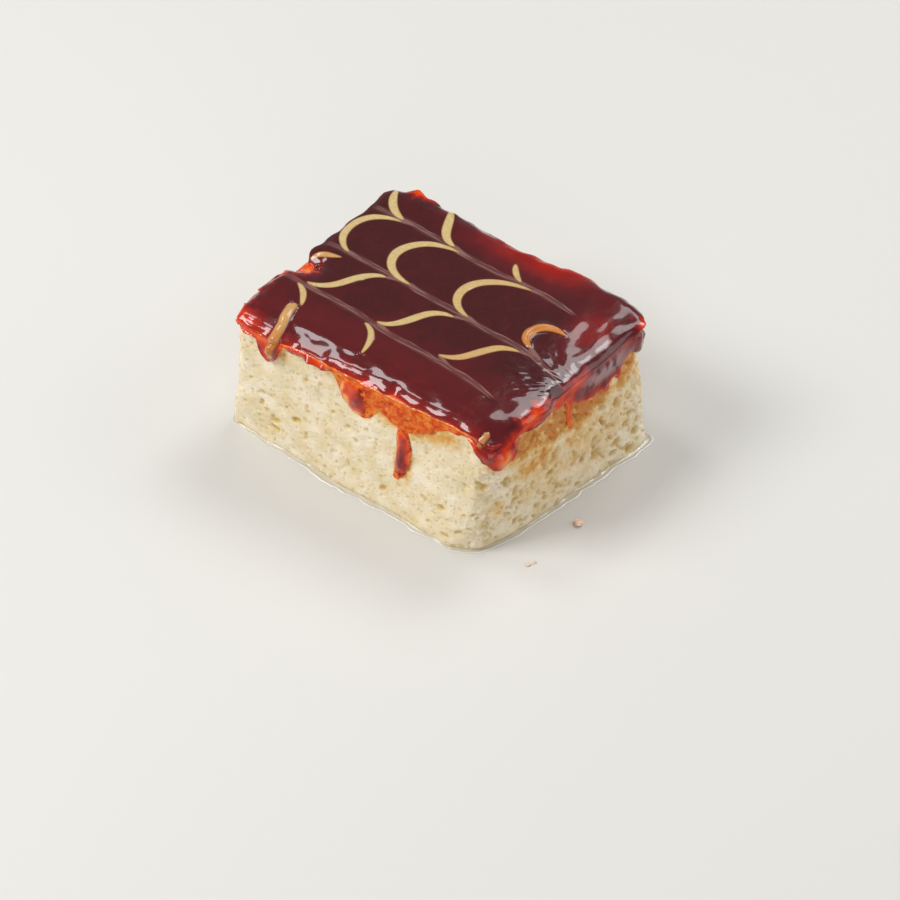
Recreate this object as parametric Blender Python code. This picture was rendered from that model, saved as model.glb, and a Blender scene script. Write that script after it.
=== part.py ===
"""One hand-cut square of milk-soaked sponge cake under a thick caramel glaze.

The slice stands on the XY plane. X runs along its front cut face, -Y is the
front and +Z is up. The origin is the middle of the foot. It has two solids:

sponge  the block itself: cut by hand, so no side is quite straight or upright,
        spread at the foot, with crags and torn crumb on its four cut faces
glaze   the cap poured over it: a flat top with a rolled edge, tongues that
        hang over the sides, drips, and the piped feathering raised on the top

Sizes and places below are in millimetres. Meshes are made in metres.
"""
import math

import bmesh
import bpy
from mathutils import Vector, noise

MM = 0.001

# Heights: the sponge alone, the glaze on it, and the clearance between them.
SPONGE_HEIGHT = 38.0
GLAZE_TOP = 41.2
CLEARANCE = 0.35

# The four sides, counted anticlockwise from the front as seen from above.
FRONT, RIGHT, BACK, LEFT = range(4)

# Each side starts at its own corner. A corner has a place at the foot, a place
# under the glaze, and a radius at both heights: the wet foot sags outwards.
CORNERS = (
    {"foot": (-49.9, -32.8), "top": (-46.0, -31.5), "foot_r": 4.0, "top_r": 3.0},
    {"foot": (36.5, -37.9), "top": (39.1, -31.2), "foot_r": 11.0, "top_r": 4.0},
    {"foot": (50.5, 29.4), "top": (45.1, 32.5), "foot_r": 4.5, "top_r": 8.5},
    {"foot": (-45.3, 36.9), "top": (-41.9, 34.6), "foot_r": 4.0, "top_r": 3.5},
)
FLARE = 1.5            # power of the curve from the foot in to the top
BULGE = 0.7            # how far a cut face swells in and out
BULGE_SPAN = 17.0      # size of one such swelling

# Sponge surface: crags are cut into the nominal face, never out of it.
EDGE_ROUNDING = 1.1
CRAG_DEPTH = 1.1
CRAG_SPAN = 6.5
TORN_CORNER = Vector((38.3, -33.1, 21.0))   # crumb torn off the front edge
TORN_SPAN = 8.0
TORN_DEPTH = 1.6
SPONGE_COLUMNS = (32, 24, 28, 24)           # on the front, right, back and left
SPONGE_ROWS = 13

# Glaze: its rolled edge, its thickness down the sides, and its slight swells.
SHOULDER = 3.4
SHEET = 1.2
SWELL = 0.22
SWELL_SPAN = 13.0
HOLLOW = {"at": (-41.8, -3.6), "span": (5.0, 4.2), "depth": 1.5}   # torn left edge
GLAZE_COLUMNS = (56, 40, 28, 24)

# What hangs over the edge: (side, distance along it, half width, how far below
# the top of the glaze it ends, thickness, fullness). A full run is blunt.
RUNS = (
    (FRONT, 4.7, 8.0, 4.8, 1.5, 0.7),
    (FRONT, 12.5, 5.2, 11.2, 2.0, 1.5),
    (FRONT, 42.2, 9.2, 15.0, 1.0, 1.0),
    (FRONT, 56.0, 15.0, 12.4, 0.9, 1.1),
    (FRONT, 63.2, 18.0, 5.4, 0.9, 0.6),
    (FRONT, 84.2, 9.5, 9.0, 2.1, 0.9),
    (RIGHT, 1.6, 6.0, 11.0, 2.3, 0.8),
    (RIGHT, 17.0, 9.0, 5.0, 2.6, 0.7),
    (RIGHT, 27.5, 7.0, 7.2, 1.4, 0.8),
    (RIGHT, 42.0, 12.0, 13.2, 1.1, 0.35),
    (RIGHT, 58.0, 4.6, 8.6, 2.4, 0.6),
    (BACK, 16.0, 9.0, 5.2, 1.6, 0.8),
    (BACK, 34.0, 5.0, 9.0, 1.5, 1.2),
    (BACK, 52.0, 11.0, 5.6, 1.3, 0.7),
    (BACK, 76.0, 7.0, 6.0, 2.2, 0.8),
    (LEFT, 12.0, 8.0, 5.0, 1.3, 0.8),
    (LEFT, 27.0, 5.0, 7.6, 1.5, 1.2),
    (LEFT, 47.5, 4.0, 5.2, 1.9, 1.0),
    (LEFT, 60.0, 8.0, 5.6, 1.5, 0.7),
)
LEAST_HANG = 4.0       # where nothing hangs, the glaze just folds over the edge

# Drips that ran on down the faces as beads: side, then places as (distance
# along the side, height), then the widest half width and the thickness.
DRIPS = (
    (FRONT, ((38.2, 36.5), (39.4, 32.0), (42.4, 27.4)), 3.6, 2.1),
    (FRONT, ((55.6, 29.5), (56.8, 26.0), (57.8, 19.0), (56.2, 12.4)), 2.5, 1.7),
    (RIGHT, ((29.0, 35.0), (30.8, 29.0), (31.9, 22.4)), 1.4, 1.1),
    (RIGHT, ((43.8, 31.0), (46.4, 26.0)), 1.5, 1.3),
    (RIGHT, ((50.0, 31.0), (51.2, 26.8)), 1.1, 1.2),
    (BACK, ((34.0, 34.5), (34.6, 26.0), (33.4, 20.5)), 1.7, 1.3),
    (FRONT, ((15.2, 38.4), (14.1, 35.6), (12.6, 31.2)), 1.5, 2.9),
)

# Piped lines, pulled into arcs while wet: start, first handle, second handle
# and end of each curve on the top, its half width and its height.
PIPING = (
    ((-40.1, 33.4), (-39.1, 30.0), (-36.9, 26.8), (-32.7, 26.0), 1.3, 0.40),
    ((-22.5, 34.4), (-19.5, 32.8), (-20.1, 25.4), (-14.7, 24.8), 1.4, 0.40),
    ((4.7, 27.3), (5.5, 26.2), (6.7, 24.0), (9.2, 23.0), 1.1, 0.35),
    ((-32.7, 24.2), (-43.9, 23.8), (-44.1, 8.0), (-36.9, 6.5), 1.3, 0.40),
    ((-12.3, 23.0), (-28.1, 22.8), (-28.9, 5.0), (-15.9, 4.8), 1.4, 0.45),
    ((12.6, 21.2), (-3.5, 20.0), (-5.1, 5.0), (4.3, 3.3), 1.4, 0.45),
    ((29.7, 13.0), (23.1, 13.8), (19.7, 5.0), (25.5, 2.9), 1.5, 0.80),
    ((-22.1, 3.0), (-28.1, 2.4), (-28.5, -10.2), (-35.6, -10.5), 1.4, 0.45),
    ((1.9, 0.5), (-6.5, 0.4), (-4.5, -12.0), (-11.0, -12.4), 1.4, 0.45),
    ((24.0, -0.7), (15.7, -1.0), (17.3, -12.4), (9.7, -13.5), 1.4, 0.50),
    ((-36.3, 2.8), (-39.7, 1.6), (-41.5, 1.0), (-42.6, -1.0), 1.1, 0.40),
    ((-38.8, -12.4), (-36.1, -13.2), (-34.1, -16.0), (-32.9, -18.6), 1.1, 0.40),
    ((-33.9, -21.8), (-33.1, -25.0), (-31.9, -27.6), (-30.9, -30.2), 1.4, 0.80),
    ((-14.6, -14.9), (-10.7, -16.0), (-8.9, -19.4), (-8.5, -24.5), 1.1, 0.40),
)
PIPING_STEPS = 8
PIPING_ROOT = 0.5      # how deep a piped line is sunk in the glaze
DRIP_STANDOFF = 0.25   # a drip's back stays this far in front of the glaze's own back

# Half of a bead's cross-section: (share of the half width, share of the height).
BEAD_SECTION = ((-1.0, 0.0), (-0.82, 0.62), (-0.36, 0.96), (0.36, 0.96), (0.82, 0.62), (1.0, 0.0))


def blend(a, b, share):
    """Go from a to b by share."""
    return a + (b - a) * share


def corner(index, z):
    """Give a corner's place in plan and its radius at height z."""
    data = CORNERS[index % 4]
    rise = min(max(z / SPONGE_HEIGHT, 0.0), 1.0)
    share = 1.0 - (1.0 - rise) ** FLARE
    place = Vector(data["foot"]).lerp(Vector(data["top"]), share)
    return place, blend(data["foot_r"], data["top_r"], share)


def outline(turn, z):
    """Give the slice's plan outline at height z; turn is side + share of that side."""
    side = int(turn % 4.0)
    start, start_r = corner(side, z)
    end, end_r = corner(side + 1, z)
    back = (corner(side - 1, z)[0] - start).normalized()
    onward = (corner(side + 2, z)[0] - end).normalized()
    length = (end - start).length
    run = (end - start) / length
    walked = (turn % 1.0) * length
    if walked < start_r:
        pull = start_r / math.hypot(start_r - walked, start_r)
        return start + run * (start_r - (start_r - walked) * pull) + back * start_r * (1.0 - pull)
    left = length - walked
    if left < end_r:
        pull = end_r / math.hypot(end_r - left, end_r)
        return end - run * (end_r - (end_r - left) * pull) + onward * end_r * (1.0 - pull)
    return start + run * walked


def face_point(turn, z, out=0.0):
    """Give a point of the nominal cut face, moved outwards by out."""
    here = outline(turn, z)
    ahead = outline(turn + 0.004, z) - outline(turn - 0.004, z)
    outwards = Vector((ahead.y, -ahead.x)).normalized()
    swelling = BULGE * noise.noise(Vector((here.x, here.y, z)) / BULGE_SPAN)
    place = here + outwards * (swelling + out)
    return Vector((place.x, place.y, z))


def side_length(side):
    """Give a side's length under the glaze."""
    return (corner(side + 1, SPONGE_HEIGHT)[0] - corner(side, SPONGE_HEIGHT)[0]).length


def perimeter_place(turn):
    """Give the distance walked round the slice to reach turn."""
    side = int(turn % 4.0)
    return sum(side_length(i) for i in range(side)) + side_length(side) * (turn % 1.0)


def columns(counts):
    """Give evenly spread turns round the slice, with a count for each side."""
    return [side + i / count for side, count in enumerate(counts) for i in range(count)]


def top_height(x, y):
    """Give the height of the glaze's top, with its slow swells and its torn hollow."""
    swell = SWELL * noise.noise(Vector((x, y, 5.0)) / SWELL_SPAN)
    across = (x - HOLLOW["at"][0]) / HOLLOW["span"][0]
    along = (y - HOLLOW["at"][1]) / HOLLOW["span"][1]
    return GLAZE_TOP + swell - HOLLOW["depth"] * math.exp(-across * across - along * along)


def rolled_height(x, y):
    """Give the height of the glaze near its edge, where the top rolls over."""
    inside = SHOULDER
    for side in range(4):
        start = corner(side, SPONGE_HEIGHT)[0]
        run = (corner(side + 1, SPONGE_HEIGHT)[0] - start).normalized()
        inside = min(inside, run.x * (y - start.y) - run.y * (x - start.x) + SHEET)
    steep = 1.0 - max(inside, 0.0) / SHOULDER
    return top_height(x, y) - SHOULDER * (1.0 - math.sqrt(1.0 - steep * steep))


def edge_of_glaze(turn):
    """Give how far the glaze hangs below its top here, and how thick it is there."""
    around = sum(side_length(side) for side in range(4))
    here = perimeter_place(turn)
    hang = LEAST_HANG + 0.35 * noise.noise(Vector((here / 6.0, 2.0, 0.0)))
    thickness = SHEET
    for side, along, half_width, depth, thick, fullness in RUNS:
        centre = sum(side_length(i) for i in range(side)) + along
        gap = (here - centre + around / 2.0) % around - around / 2.0
        reach = 1.0 - (gap / half_width) ** 2
        if reach <= 0.0:
            continue
        lobe = LEAST_HANG + (depth - LEAST_HANG) * reach ** fullness
        if lobe > hang:
            hang = lobe
            thickness = blend(SHEET, thick, min(1.0, reach * 1.6))
    return hang, thickness


def closed_mesh(rings):
    """Skin closed rings one after another and cap the first and the last."""
    bm = bmesh.new()
    loops = [[bm.verts.new(point * MM) for point in ring] for ring in rings]
    count = len(loops[0])
    for lower, upper in zip(loops, loops[1:]):
        for i in range(count):
            j = (i + 1) % count
            bm.faces.new((lower[i], lower[j], upper[j], upper[i]))
    bm.faces.new(reversed(loops[0]))
    bm.faces.new(loops[-1])
    bmesh.ops.recalc_face_normals(bm, faces=bm.faces)
    return bm


def make_object(name, bm, material):
    """Turn a bmesh into a smooth-shaded object."""
    mesh = bpy.data.meshes.new(name)
    bm.to_mesh(mesh)
    bm.free()
    mesh.shade_smooth()
    mesh.set_sharp_from_angle(angle=math.radians(50.0))
    mesh.materials.append(material)
    piece = bpy.data.objects.new(name, mesh)
    bpy.context.scene.collection.objects.link(piece)
    return piece


def make_material(name, color, roughness, coat):
    """Make a plain Principled material."""
    material = bpy.data.materials.new(name)
    material.use_nodes = True
    shader = material.node_tree.nodes["Principled BSDF"]
    shader.inputs["Base Color"].default_value = (*color, 1.0)
    shader.inputs["Roughness"].default_value = roughness
    shader.inputs["Metallic"].default_value = 0.0
    shader.inputs["Coat Weight"].default_value = coat
    return material


def crag(point):
    """Give how deep the crumb is cut in at a point of the face."""
    open_crumb = max(0.0, noise.noise(point / CRAG_SPAN + Vector((3.0, 8.0, 1.0))))
    fine_crumb = max(0.0, noise.noise(point / (CRAG_SPAN * 0.5)))
    torn = math.exp(-((point - TORN_CORNER).length / TORN_SPAN) ** 2)
    return CRAG_DEPTH * (0.75 * open_crumb + 0.4 * fine_crumb) + TORN_DEPTH * torn


def make_sponge():
    """Build the sponge block from its foot up to its cut top."""
    turns = columns(SPONGE_COLUMNS)
    body = SPONGE_HEIGHT - 2.0 * EDGE_ROUNDING
    heights = [EDGE_ROUNDING + body * i / (SPONGE_ROWS - 1) for i in range(SPONGE_ROWS)]
    softened = 0.3 * EDGE_ROUNDING
    rows = [(0.0, EDGE_ROUNDING), (softened, softened)]
    rows += [(z, 0.0) for z in heights]
    rows += [(SPONGE_HEIGHT - softened, softened), (SPONGE_HEIGHT, EDGE_ROUNDING)]
    rings = []
    for z, inset in rows:
        ring = []
        for turn in turns:
            depth = crag(face_point(turn, z))
            ring.append(face_point(turn, z, -inset - depth))
        rings.append(ring)
    cake = make_material("soaked sponge crumb", (0.79, 0.68, 0.47), 0.75, 0.1)
    return make_object("sponge", closed_mesh(rings), cake)


def glaze_profile(turn):
    """Give one column of the glaze, from the middle of its top round to its underside."""
    hang, thickness = edge_of_glaze(turn)
    rim = face_point(turn, SPONGE_HEIGHT)
    crest = top_height(rim.x * 0.93, rim.y * 0.93)
    low = GLAZE_TOP - hang
    shoulder = min(SHOULDER, (crest - low) * 0.6)
    lip = min(0.5 * thickness, (crest - low) * 0.15)
    points = []
    for share in (0.12, 0.35, 0.62, 0.80, 0.90):
        x = rim.x * share
        y = rim.y * share
        points.append(Vector((x, y, top_height(x, y))))
    for angle in (18.0, 42.0, 64.0, 86.0):
        a = math.radians(angle)
        out = -SHOULDER + (SHOULDER + thickness) * math.sin(a)
        z = crest - shoulder * (1.0 - math.cos(a))
        points.append(face_point(turn, z, out))
    for share in (0.33, 0.66, 1.0):
        z = blend(crest - shoulder, low + lip, share)
        points.append(face_point(turn, z, thickness * (1.0 + 0.22 * share)))
    points.append(face_point(turn, low + 0.25 * lip, 0.85 * thickness))
    points.append(face_point(turn, low, 0.5 * thickness))
    underside = SPONGE_HEIGHT + CLEARANCE
    points.append(face_point(turn, low + 0.2 * lip, CLEARANCE))
    for share in (0.35, 0.7, 1.0):
        z = blend(low + 0.2 * lip, underside, share)
        points.append(face_point(turn, z, CLEARANCE))
    inner = face_point(turn, SPONGE_HEIGHT, -0.4 * SHOULDER)
    points.append(Vector((inner.x, inner.y, underside)))
    return points


def make_bead(path, half_width, height, root, place):
    """Lay a rounded, tapering bead along a path; place maps (across, along, up) to space."""
    rings = []
    last = len(path) - 1
    for i, (u, v) in enumerate(path):
        before = Vector(path[max(i - 1, 0)])
        after = Vector(path[min(i + 1, last)])
        run = (after - before).normalized()
        taper = math.sin(math.pi * (0.12 + 0.76 * i / last)) ** 0.7
        ring = []
        for wide, tall in BEAD_SECTION:
            spread = wide * half_width * taper
            lift = blend(-root, height * taper, tall)
            ring.append(place(u - run.y * spread, v + run.x * spread, lift))
        rings.append(ring)
    return closed_mesh(rings)


def smooth_path(points, steps):
    """Round a few places into an even curve (a uniform spline through the points)."""
    places = [Vector(p) for p in points]
    ends = [places[0] * 2 - places[1]] + places + [places[-1] * 2 - places[-2]]
    path = []
    for a, b, c, d in zip(ends, ends[1:], ends[2:], ends[3:]):
        for i in range(steps):
            t = i / steps
            path.append(0.5 * (2 * b + (c - a) * t + (2 * a - 5 * b + 4 * c - d) * t * t
                               + (3 * b - a - 3 * c + d) * t ** 3))
    path.append(places[-1])
    return [tuple(p) for p in path]


def bezier_path(start, out_handle, in_handle, end, steps):
    """Give evenly stepped places along one Bezier curve."""
    a, b, c, d = (Vector(p) for p in (start, out_handle, in_handle, end))
    path = []
    for i in range(steps):
        t = i / (steps - 1)
        s = 1.0 - t
        path.append(tuple(a * s ** 3 + b * 3 * s * s * t + c * 3 * s * t * t + d * t ** 3))
    return path


def make_glaze():
    """Build the glaze cap, then fuse the drips and the piped lines to it."""
    caramel = make_material("caramel glaze", (0.13, 0.018, 0.018), 0.12, 0.9)
    profiles = [glaze_profile(turn) for turn in columns(GLAZE_COLUMNS)]
    rings = [list(ring) for ring in zip(*profiles)]
    crown = sum(point.z for point in rings[0]) / len(rings[0])
    for point in rings[0]:
        point.z = crown
    cap = make_object("glaze", closed_mesh(rings), caramel)

    fused = bpy.data.collections.new("fused to the glaze")
    bpy.context.scene.collection.children.link(fused)

    def add(bm):
        bead = make_object("bead", bm, caramel)
        bpy.context.scene.collection.objects.unlink(bead)
        fused.objects.link(bead)

    for side, places, half_width, thickness in DRIPS:
        def on_face(along, z, lift, side=side):
            turn = side + along / side_length(side)
            return face_point(turn, z, CLEARANCE + DRIP_STANDOFF + lift)
        add(make_bead(smooth_path(places, 4), half_width, thickness, 0.0, on_face))

    for *curve, half_width, height in PIPING:
        def on_top(x, y, lift):
            return Vector((x, y, rolled_height(x, y) + lift))
        path = bezier_path(*curve, PIPING_STEPS)
        add(make_bead(path, half_width, height, PIPING_ROOT, on_top))

    union = cap.modifiers.new("fuse the beads", "BOOLEAN")
    union.operation = "UNION"
    union.solver = "EXACT"
    union.operand_type = "COLLECTION"
    union.collection = fused
    union.use_self = True
    with bpy.context.temp_override(object=cap, active_object=cap):
        bpy.ops.object.modifier_apply(modifier=union.name)
    for bead in list(fused.objects):
        bpy.data.objects.remove(bead)
    bpy.data.collections.remove(fused)
    return cap


for leftover in list(bpy.data.objects):
    bpy.data.objects.remove(leftover)
make_sponge()
make_glaze()
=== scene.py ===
import math
import random

import bmesh
import bpy
import numpy as np
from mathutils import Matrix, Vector, kdtree, noise
from mathutils.bvhtree import BVHTree


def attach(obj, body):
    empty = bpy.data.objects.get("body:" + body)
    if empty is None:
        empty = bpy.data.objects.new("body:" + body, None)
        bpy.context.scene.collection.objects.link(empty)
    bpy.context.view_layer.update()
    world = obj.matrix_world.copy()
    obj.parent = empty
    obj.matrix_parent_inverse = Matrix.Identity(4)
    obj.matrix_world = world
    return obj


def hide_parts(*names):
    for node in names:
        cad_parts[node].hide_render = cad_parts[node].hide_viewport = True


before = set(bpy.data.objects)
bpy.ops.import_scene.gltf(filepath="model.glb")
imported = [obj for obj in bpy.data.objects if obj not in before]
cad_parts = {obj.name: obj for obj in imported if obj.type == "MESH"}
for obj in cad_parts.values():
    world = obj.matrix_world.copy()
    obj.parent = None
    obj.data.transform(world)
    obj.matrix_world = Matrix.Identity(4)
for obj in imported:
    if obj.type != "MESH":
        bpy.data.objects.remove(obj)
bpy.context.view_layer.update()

# The sponge block. A hand-cut square of baked sponge, soaked with sweet milk until
# it sags a little at the foot. Its cut faces show the open crumb: fine pores all over,
# a few larger holes, and caramel that has run into it under the glaze.
MM = 0.001
SPONGE_GRID = 0.40 * MM        # spacing of the modelled crumb
SPONGE_HEIGHT = 38.0           # mm, under the glaze
CORNER_SAG = 2.0               # mm
PORES = 1650
PORE_SIZES = ((0.28, 0.46), (0.46, 0.72), (0.72, 1.15))   # mm, radius of fine, middling and large pores

SPONGE_CREAM = "E6D6B4"
SPONGE_PALE = "EDE0C6"
SPONGE_TAN = "DFCCA2"
# the olive-tan in the pores: the crumb's yellower tone there together with painted shade in them
PORE_TONE_AND_SHADE = "C8A240"
STAIN_YELLOW = "DCA848"
STAIN_BROWN = "BE6A1C"

# Where caramel has soaked in: middle of the patch, its half sizes, and how strong it is.
STAINS = (
    ((41.0, -20.0, 31.5), (4.0, 11.0, 5.5), 1.00),
    ((42.0, -4.0, 29.5), (4.0, 13.0, 7.0), 1.00),
    ((43.0, 6.0, 27.5), (4.0, 11.0, 6.5), 1.00),
    ((44.5, 22.0, 30.0), (4.0, 7.0, 7.0), 0.60),
    ((42.0, -16.0, 22.0), (4.0, 10.0, 5.0), 0.60),
    ((43.5, 2.0, 19.0), (4.0, 12.0, 4.0), 0.35),
    ((40.5, -29.5, 13.0), (4.0, 4.0, 3.0), 0.55),
    ((39.5, -30.0, 30.5), (4.0, 5.0, 4.0), 0.60),
    ((8.0, -33.0, 34.0), (22.0, 3.0, 5.5), 0.90),
    ((13.0, -33.0, 31.0), (7.0, 3.0, 3.6), 0.95),
    ((10.6, -34.2, 19.0), (2.9, 3.0, 7.5), 0.85),
    ((-4.0, -34.0, 29.0), (5.0, 3.0, 4.0), 0.40),
    ((-32.0, -33.0, 34.0), (7.0, 3.0, 3.0), 0.35),
    ((44.0, -3.0, 18.0), (6.0, 34.0, 15.0), 0.22),
    ((0.0, 34.0, 34.5), (34.0, 3.5, 4.5), 0.55),
    ((-45.0, 8.0, 34.5), (3.5, 26.0, 4.0), 0.50),
)
# In plan, middle and half sizes in mm: the torn front upright edge, and the crumb left at its foot.
TORN_EDGE = ((38.5, -33.0), (4.2, 4.6))
FOOT_CRUMB = ((33.0, -34.0), (11.0, 7.0))


def srgb(code):
    """Turn an sRGB hex colour into linear RGBA."""
    values = [int(code[i:i + 2], 16) / 255 for i in (0, 2, 4)]
    return [v / 12.92 if v <= 0.04045 else ((v + 0.055) / 1.055) ** 2.4 for v in values] + [1.0]


def piece_from_node(name, node):
    """Start a piece from a merged copy of a solid's form."""
    piece = bpy.data.objects.new(name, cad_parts[node].data.copy())
    piece.data.materials.clear()
    bpy.context.scene.collection.objects.link(piece)
    bpy.ops.object.select_all(action="DESELECT")
    piece.select_set(True)
    bpy.context.view_layer.objects.active = piece
    bpy.ops.object.mode_set(mode="EDIT")
    bpy.ops.mesh.select_all(action="SELECT")
    bpy.ops.mesh.remove_doubles(threshold=0.00001)
    bpy.ops.object.mode_set(mode="OBJECT")
    return piece


def apply_modifier(piece, name, kind, **settings):
    """Add a modifier with its settings and apply it."""
    modifier = piece.modifiers.new(name, kind)
    for key, value in settings.items():
        setattr(modifier, key, value)
    with bpy.context.temp_override(object=piece, active_object=piece):
        bpy.ops.object.modifier_apply(modifier=modifier.name)


def merge_hidden(piece, low, high):
    """Make one fan of the level faces between two heights in mm, which nothing shows."""
    bm = bmesh.new()
    bm.from_mesh(piece.data)
    level = [f for f in bm.faces if abs(f.normal.z) > 0.995 and low < f.calc_center_median().z / MM < high]
    merged = bmesh.ops.dissolve_faces(bm, faces=level)["region"]
    bmesh.ops.poke(bm, faces=merged)
    bm.to_mesh(piece.data)
    bm.free()


def get_places(piece):
    """Give the piece's vertex places in millimetres."""
    flat = np.empty(len(piece.data.vertices) * 3)
    piece.data.vertices.foreach_get("co", flat)
    return flat.reshape(-1, 3) / MM


def set_places(piece, places):
    """Put the piece's vertices at places given in millimetres."""
    piece.data.vertices.foreach_set("co", (places * MM).ravel())
    piece.data.update()


def get_normals(piece):
    """Give the piece's vertex normals."""
    flat = np.empty(len(piece.data.vertices) * 3)
    piece.data.vertex_normals.foreach_get("vector", flat)
    return flat.reshape(-1, 3)


def store(piece, name, values):
    """Keep one number for each vertex, for the material to read."""
    layer = piece.data.attributes.new(name, "FLOAT", "POINT")
    layer.data.foreach_set("value", np.asarray(values, float))


def lumps(places, size, seed=0.0, octaves=1):
    """Give smooth noise at places, with lumps of a size in millimetres."""
    shift = Vector((seed * 7.3, seed * 3.1, seed * 5.7))
    if octaves == 1:
        return np.array([noise.noise(Vector(p) / size + shift) for p in places])
    return np.array([noise.fractal(Vector(p) / size + shift, 0.9, 2.0, octaves) for p in places])


def add_node(tree, kind, links=None, inputs=None, stops=None, **settings):
    """Add a shader node with its settings, socket values, ramp stops and links."""
    node = tree.nodes.new(kind)
    for key, value in settings.items():
        setattr(node, key, value)
    for key, value in (inputs or {}).items():
        node.inputs[key].default_value = value
    for key, source in (links or {}).items():
        tree.links.new(source, node.inputs[key])
    if stops:
        elements = node.color_ramp.elements
        while len(elements) > 1:
            elements.remove(elements[-1])
        elements[0].position, elements[0].color = stops[0]
        for position, color in stops[1:]:
            elements.new(position).color = color
    return node


def start_material(name):
    """Start a material: give it, its tree, its shader and the object's own places."""
    material = bpy.data.materials.new(name)
    material.use_nodes = True
    tree = material.node_tree
    spot = add_node(tree, "ShaderNodeTexCoord").outputs["Object"]
    return material, tree, tree.nodes["Principled BSDF"], spot


def stored(tree, name):
    """Read the number that a piece keeps at each vertex under a name."""
    return add_node(tree, "ShaderNodeAttribute", attribute_name=name).outputs["Fac"]


def set_inputs(shader, values):
    """Set the shader's own values."""
    for key, value in values.items():
        shader.inputs[key].default_value = value


def rise(values, low, high):
    """Go smoothly from 0 at low to 1 at high."""
    share = np.clip((values - low) / (high - low), 0.0, 1.0)
    return share * share * (3.0 - 2.0 * share)


def patch_reach(places, centre, spread):
    """Give how far places are from a patch's middle, squared, with 1 at its half sizes."""
    return (((places - np.array(centre)) / np.array(spread)) ** 2).sum(1)


def sag(places):
    """Let the front right corner sink under its glaze, as it did in the dish."""
    sunk = places.copy()
    near = rise(0.62 * places[:, 0] - 0.78 * places[:, 1], 40.0, 51.0)
    sunk[:, 2] -= CORNER_SAG * near * rise(places[:, 2], 24.0, 39.0)
    return sunk


sponge = piece_from_node("sponge_block", "sponge")
apply_modifier(sponge, "even grid", "REMESH", mode="VOXEL", voxel_size=SPONGE_GRID, use_smooth_shade=True)
apply_modifier(sponge, "soften facets", "SMOOTH", factor=0.5, iterations=6)
merge_hidden(sponge, 37.8, 38.2)
merge_hidden(sponge, -0.1, 0.1)

places = get_places(sponge)
normals = get_normals(sponge)
upright = np.clip(1.6 - 2.4 * np.abs(normals[:, 2]), 0.0, 1.0)
upright *= np.clip((places[:, 2] - 0.25) / 0.8, 0.0, 1.0)

wall = BVHTree.FromPolygons([Vector(p) for p in places], [p.vertices[:] for p in sponge.data.polygons])
ragged = np.clip((places[:, 0] - 34.0) / 5.0, 0.0, 1.0)      # the right face was torn more than cut
crumb = 0.16 * lumps(places, 5.2, 1.0) + 0.14 * lumps(places, 2.4, 2.0) + 0.14 * lumps(places, 1.2, 3.0)
cut_in = np.clip(-crumb, 0.0, None) * 1.3 - 0.30 * np.clip(crumb, 0.0, None)
cut_in *= 0.75 + 1.5 * ragged
torn_edge = np.exp(-patch_reach(places[:, :2], *TORN_EDGE))
torn_edge *= rise(places[:, 2], 0.0, 3.0) * (1.0 - rise(places[:, 2], 25.0, 31.0))
cut_in += torn_edge * (3.4 * np.abs(lumps(places, 3.4, 23.0)) + 2.2 * np.abs(lumps(places, 1.6, 24.0)) - 1.0)
near_foot = np.exp(-patch_reach(places[:, :2], *FOOT_CRUMB))
near_foot *= 1.0 - rise(places[:, 2], 1.0, 5.0)
cut_in -= near_foot * 1.5 * np.clip(lumps(places, 2.6, 26.0), 0.0, None)

draw = random.Random(11)
tree = kdtree.KDTree(len(places))
for index, place in enumerate(places):
    tree.insert(place, index)
tree.balance()
faces = np.nonzero(upright > 0.6)[0]
pore = np.zeros(len(places))
for _ in range(PORES):
    centre = int(faces[draw.randrange(len(faces))])
    if draw.random() < 0.36 * (1.0 - ragged[centre]):
        continue
    roll = draw.random() + 0.06 * ragged[centre]
    low, high = PORE_SIZES[0 if roll < 0.74 else 1 if roll < 0.965 else 2]
    radius = draw.uniform(low, high) * (1.0 + 0.40 * ragged[centre])
    stretch = draw.uniform(1.0, 1.9)
    lean = draw.uniform(-1.5, 1.5)
    out = Vector(normals[centre])
    across = Vector((-out.y, out.x, 0.0)).normalized()
    up = out.cross(across)
    along = across * math.cos(lean) + up * math.sin(lean)
    steep = up * math.cos(lean) - across * math.sin(lean)
    for place, index, _ in tree.find_range(places[centre], radius * stretch):
        step = place - Vector(places[centre])
        reach = math.hypot(step.dot(along) / (radius * stretch), step.dot(steep) / radius)
        if reach < 1.0:
            pore[index] = max(pore[index], (1.0 - reach * reach) * min(1.0, radius * 0.95))
cut_in += 0.80 * pore * (1.0 + 1.2 * ragged)
places -= normals * (cut_in * upright)[:, None]
places[:, 2] = np.clip(places[:, 2], 0.0, SPONGE_HEIGHT)
places = sag(places)
set_places(sponge, places)

stain = np.zeros(len(places))
for centre, spread, strength in STAINS:
    stain = np.maximum(stain, strength * np.exp(-patch_reach(places, centre, spread) ** 1.6))
mottle = lumps(places, 2.6, 5.0, 3)
mottle += 0.55 * lumps(places, 1.1, 27.0)
stain = np.clip(stain * (1.15 + 0.9 * mottle) + 0.12 * np.clip(mottle, 0.0, 1.0) * stain, 0.0, 1.0)
store(sponge, "pore", pore)
store(sponge, "stain", stain)

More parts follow.
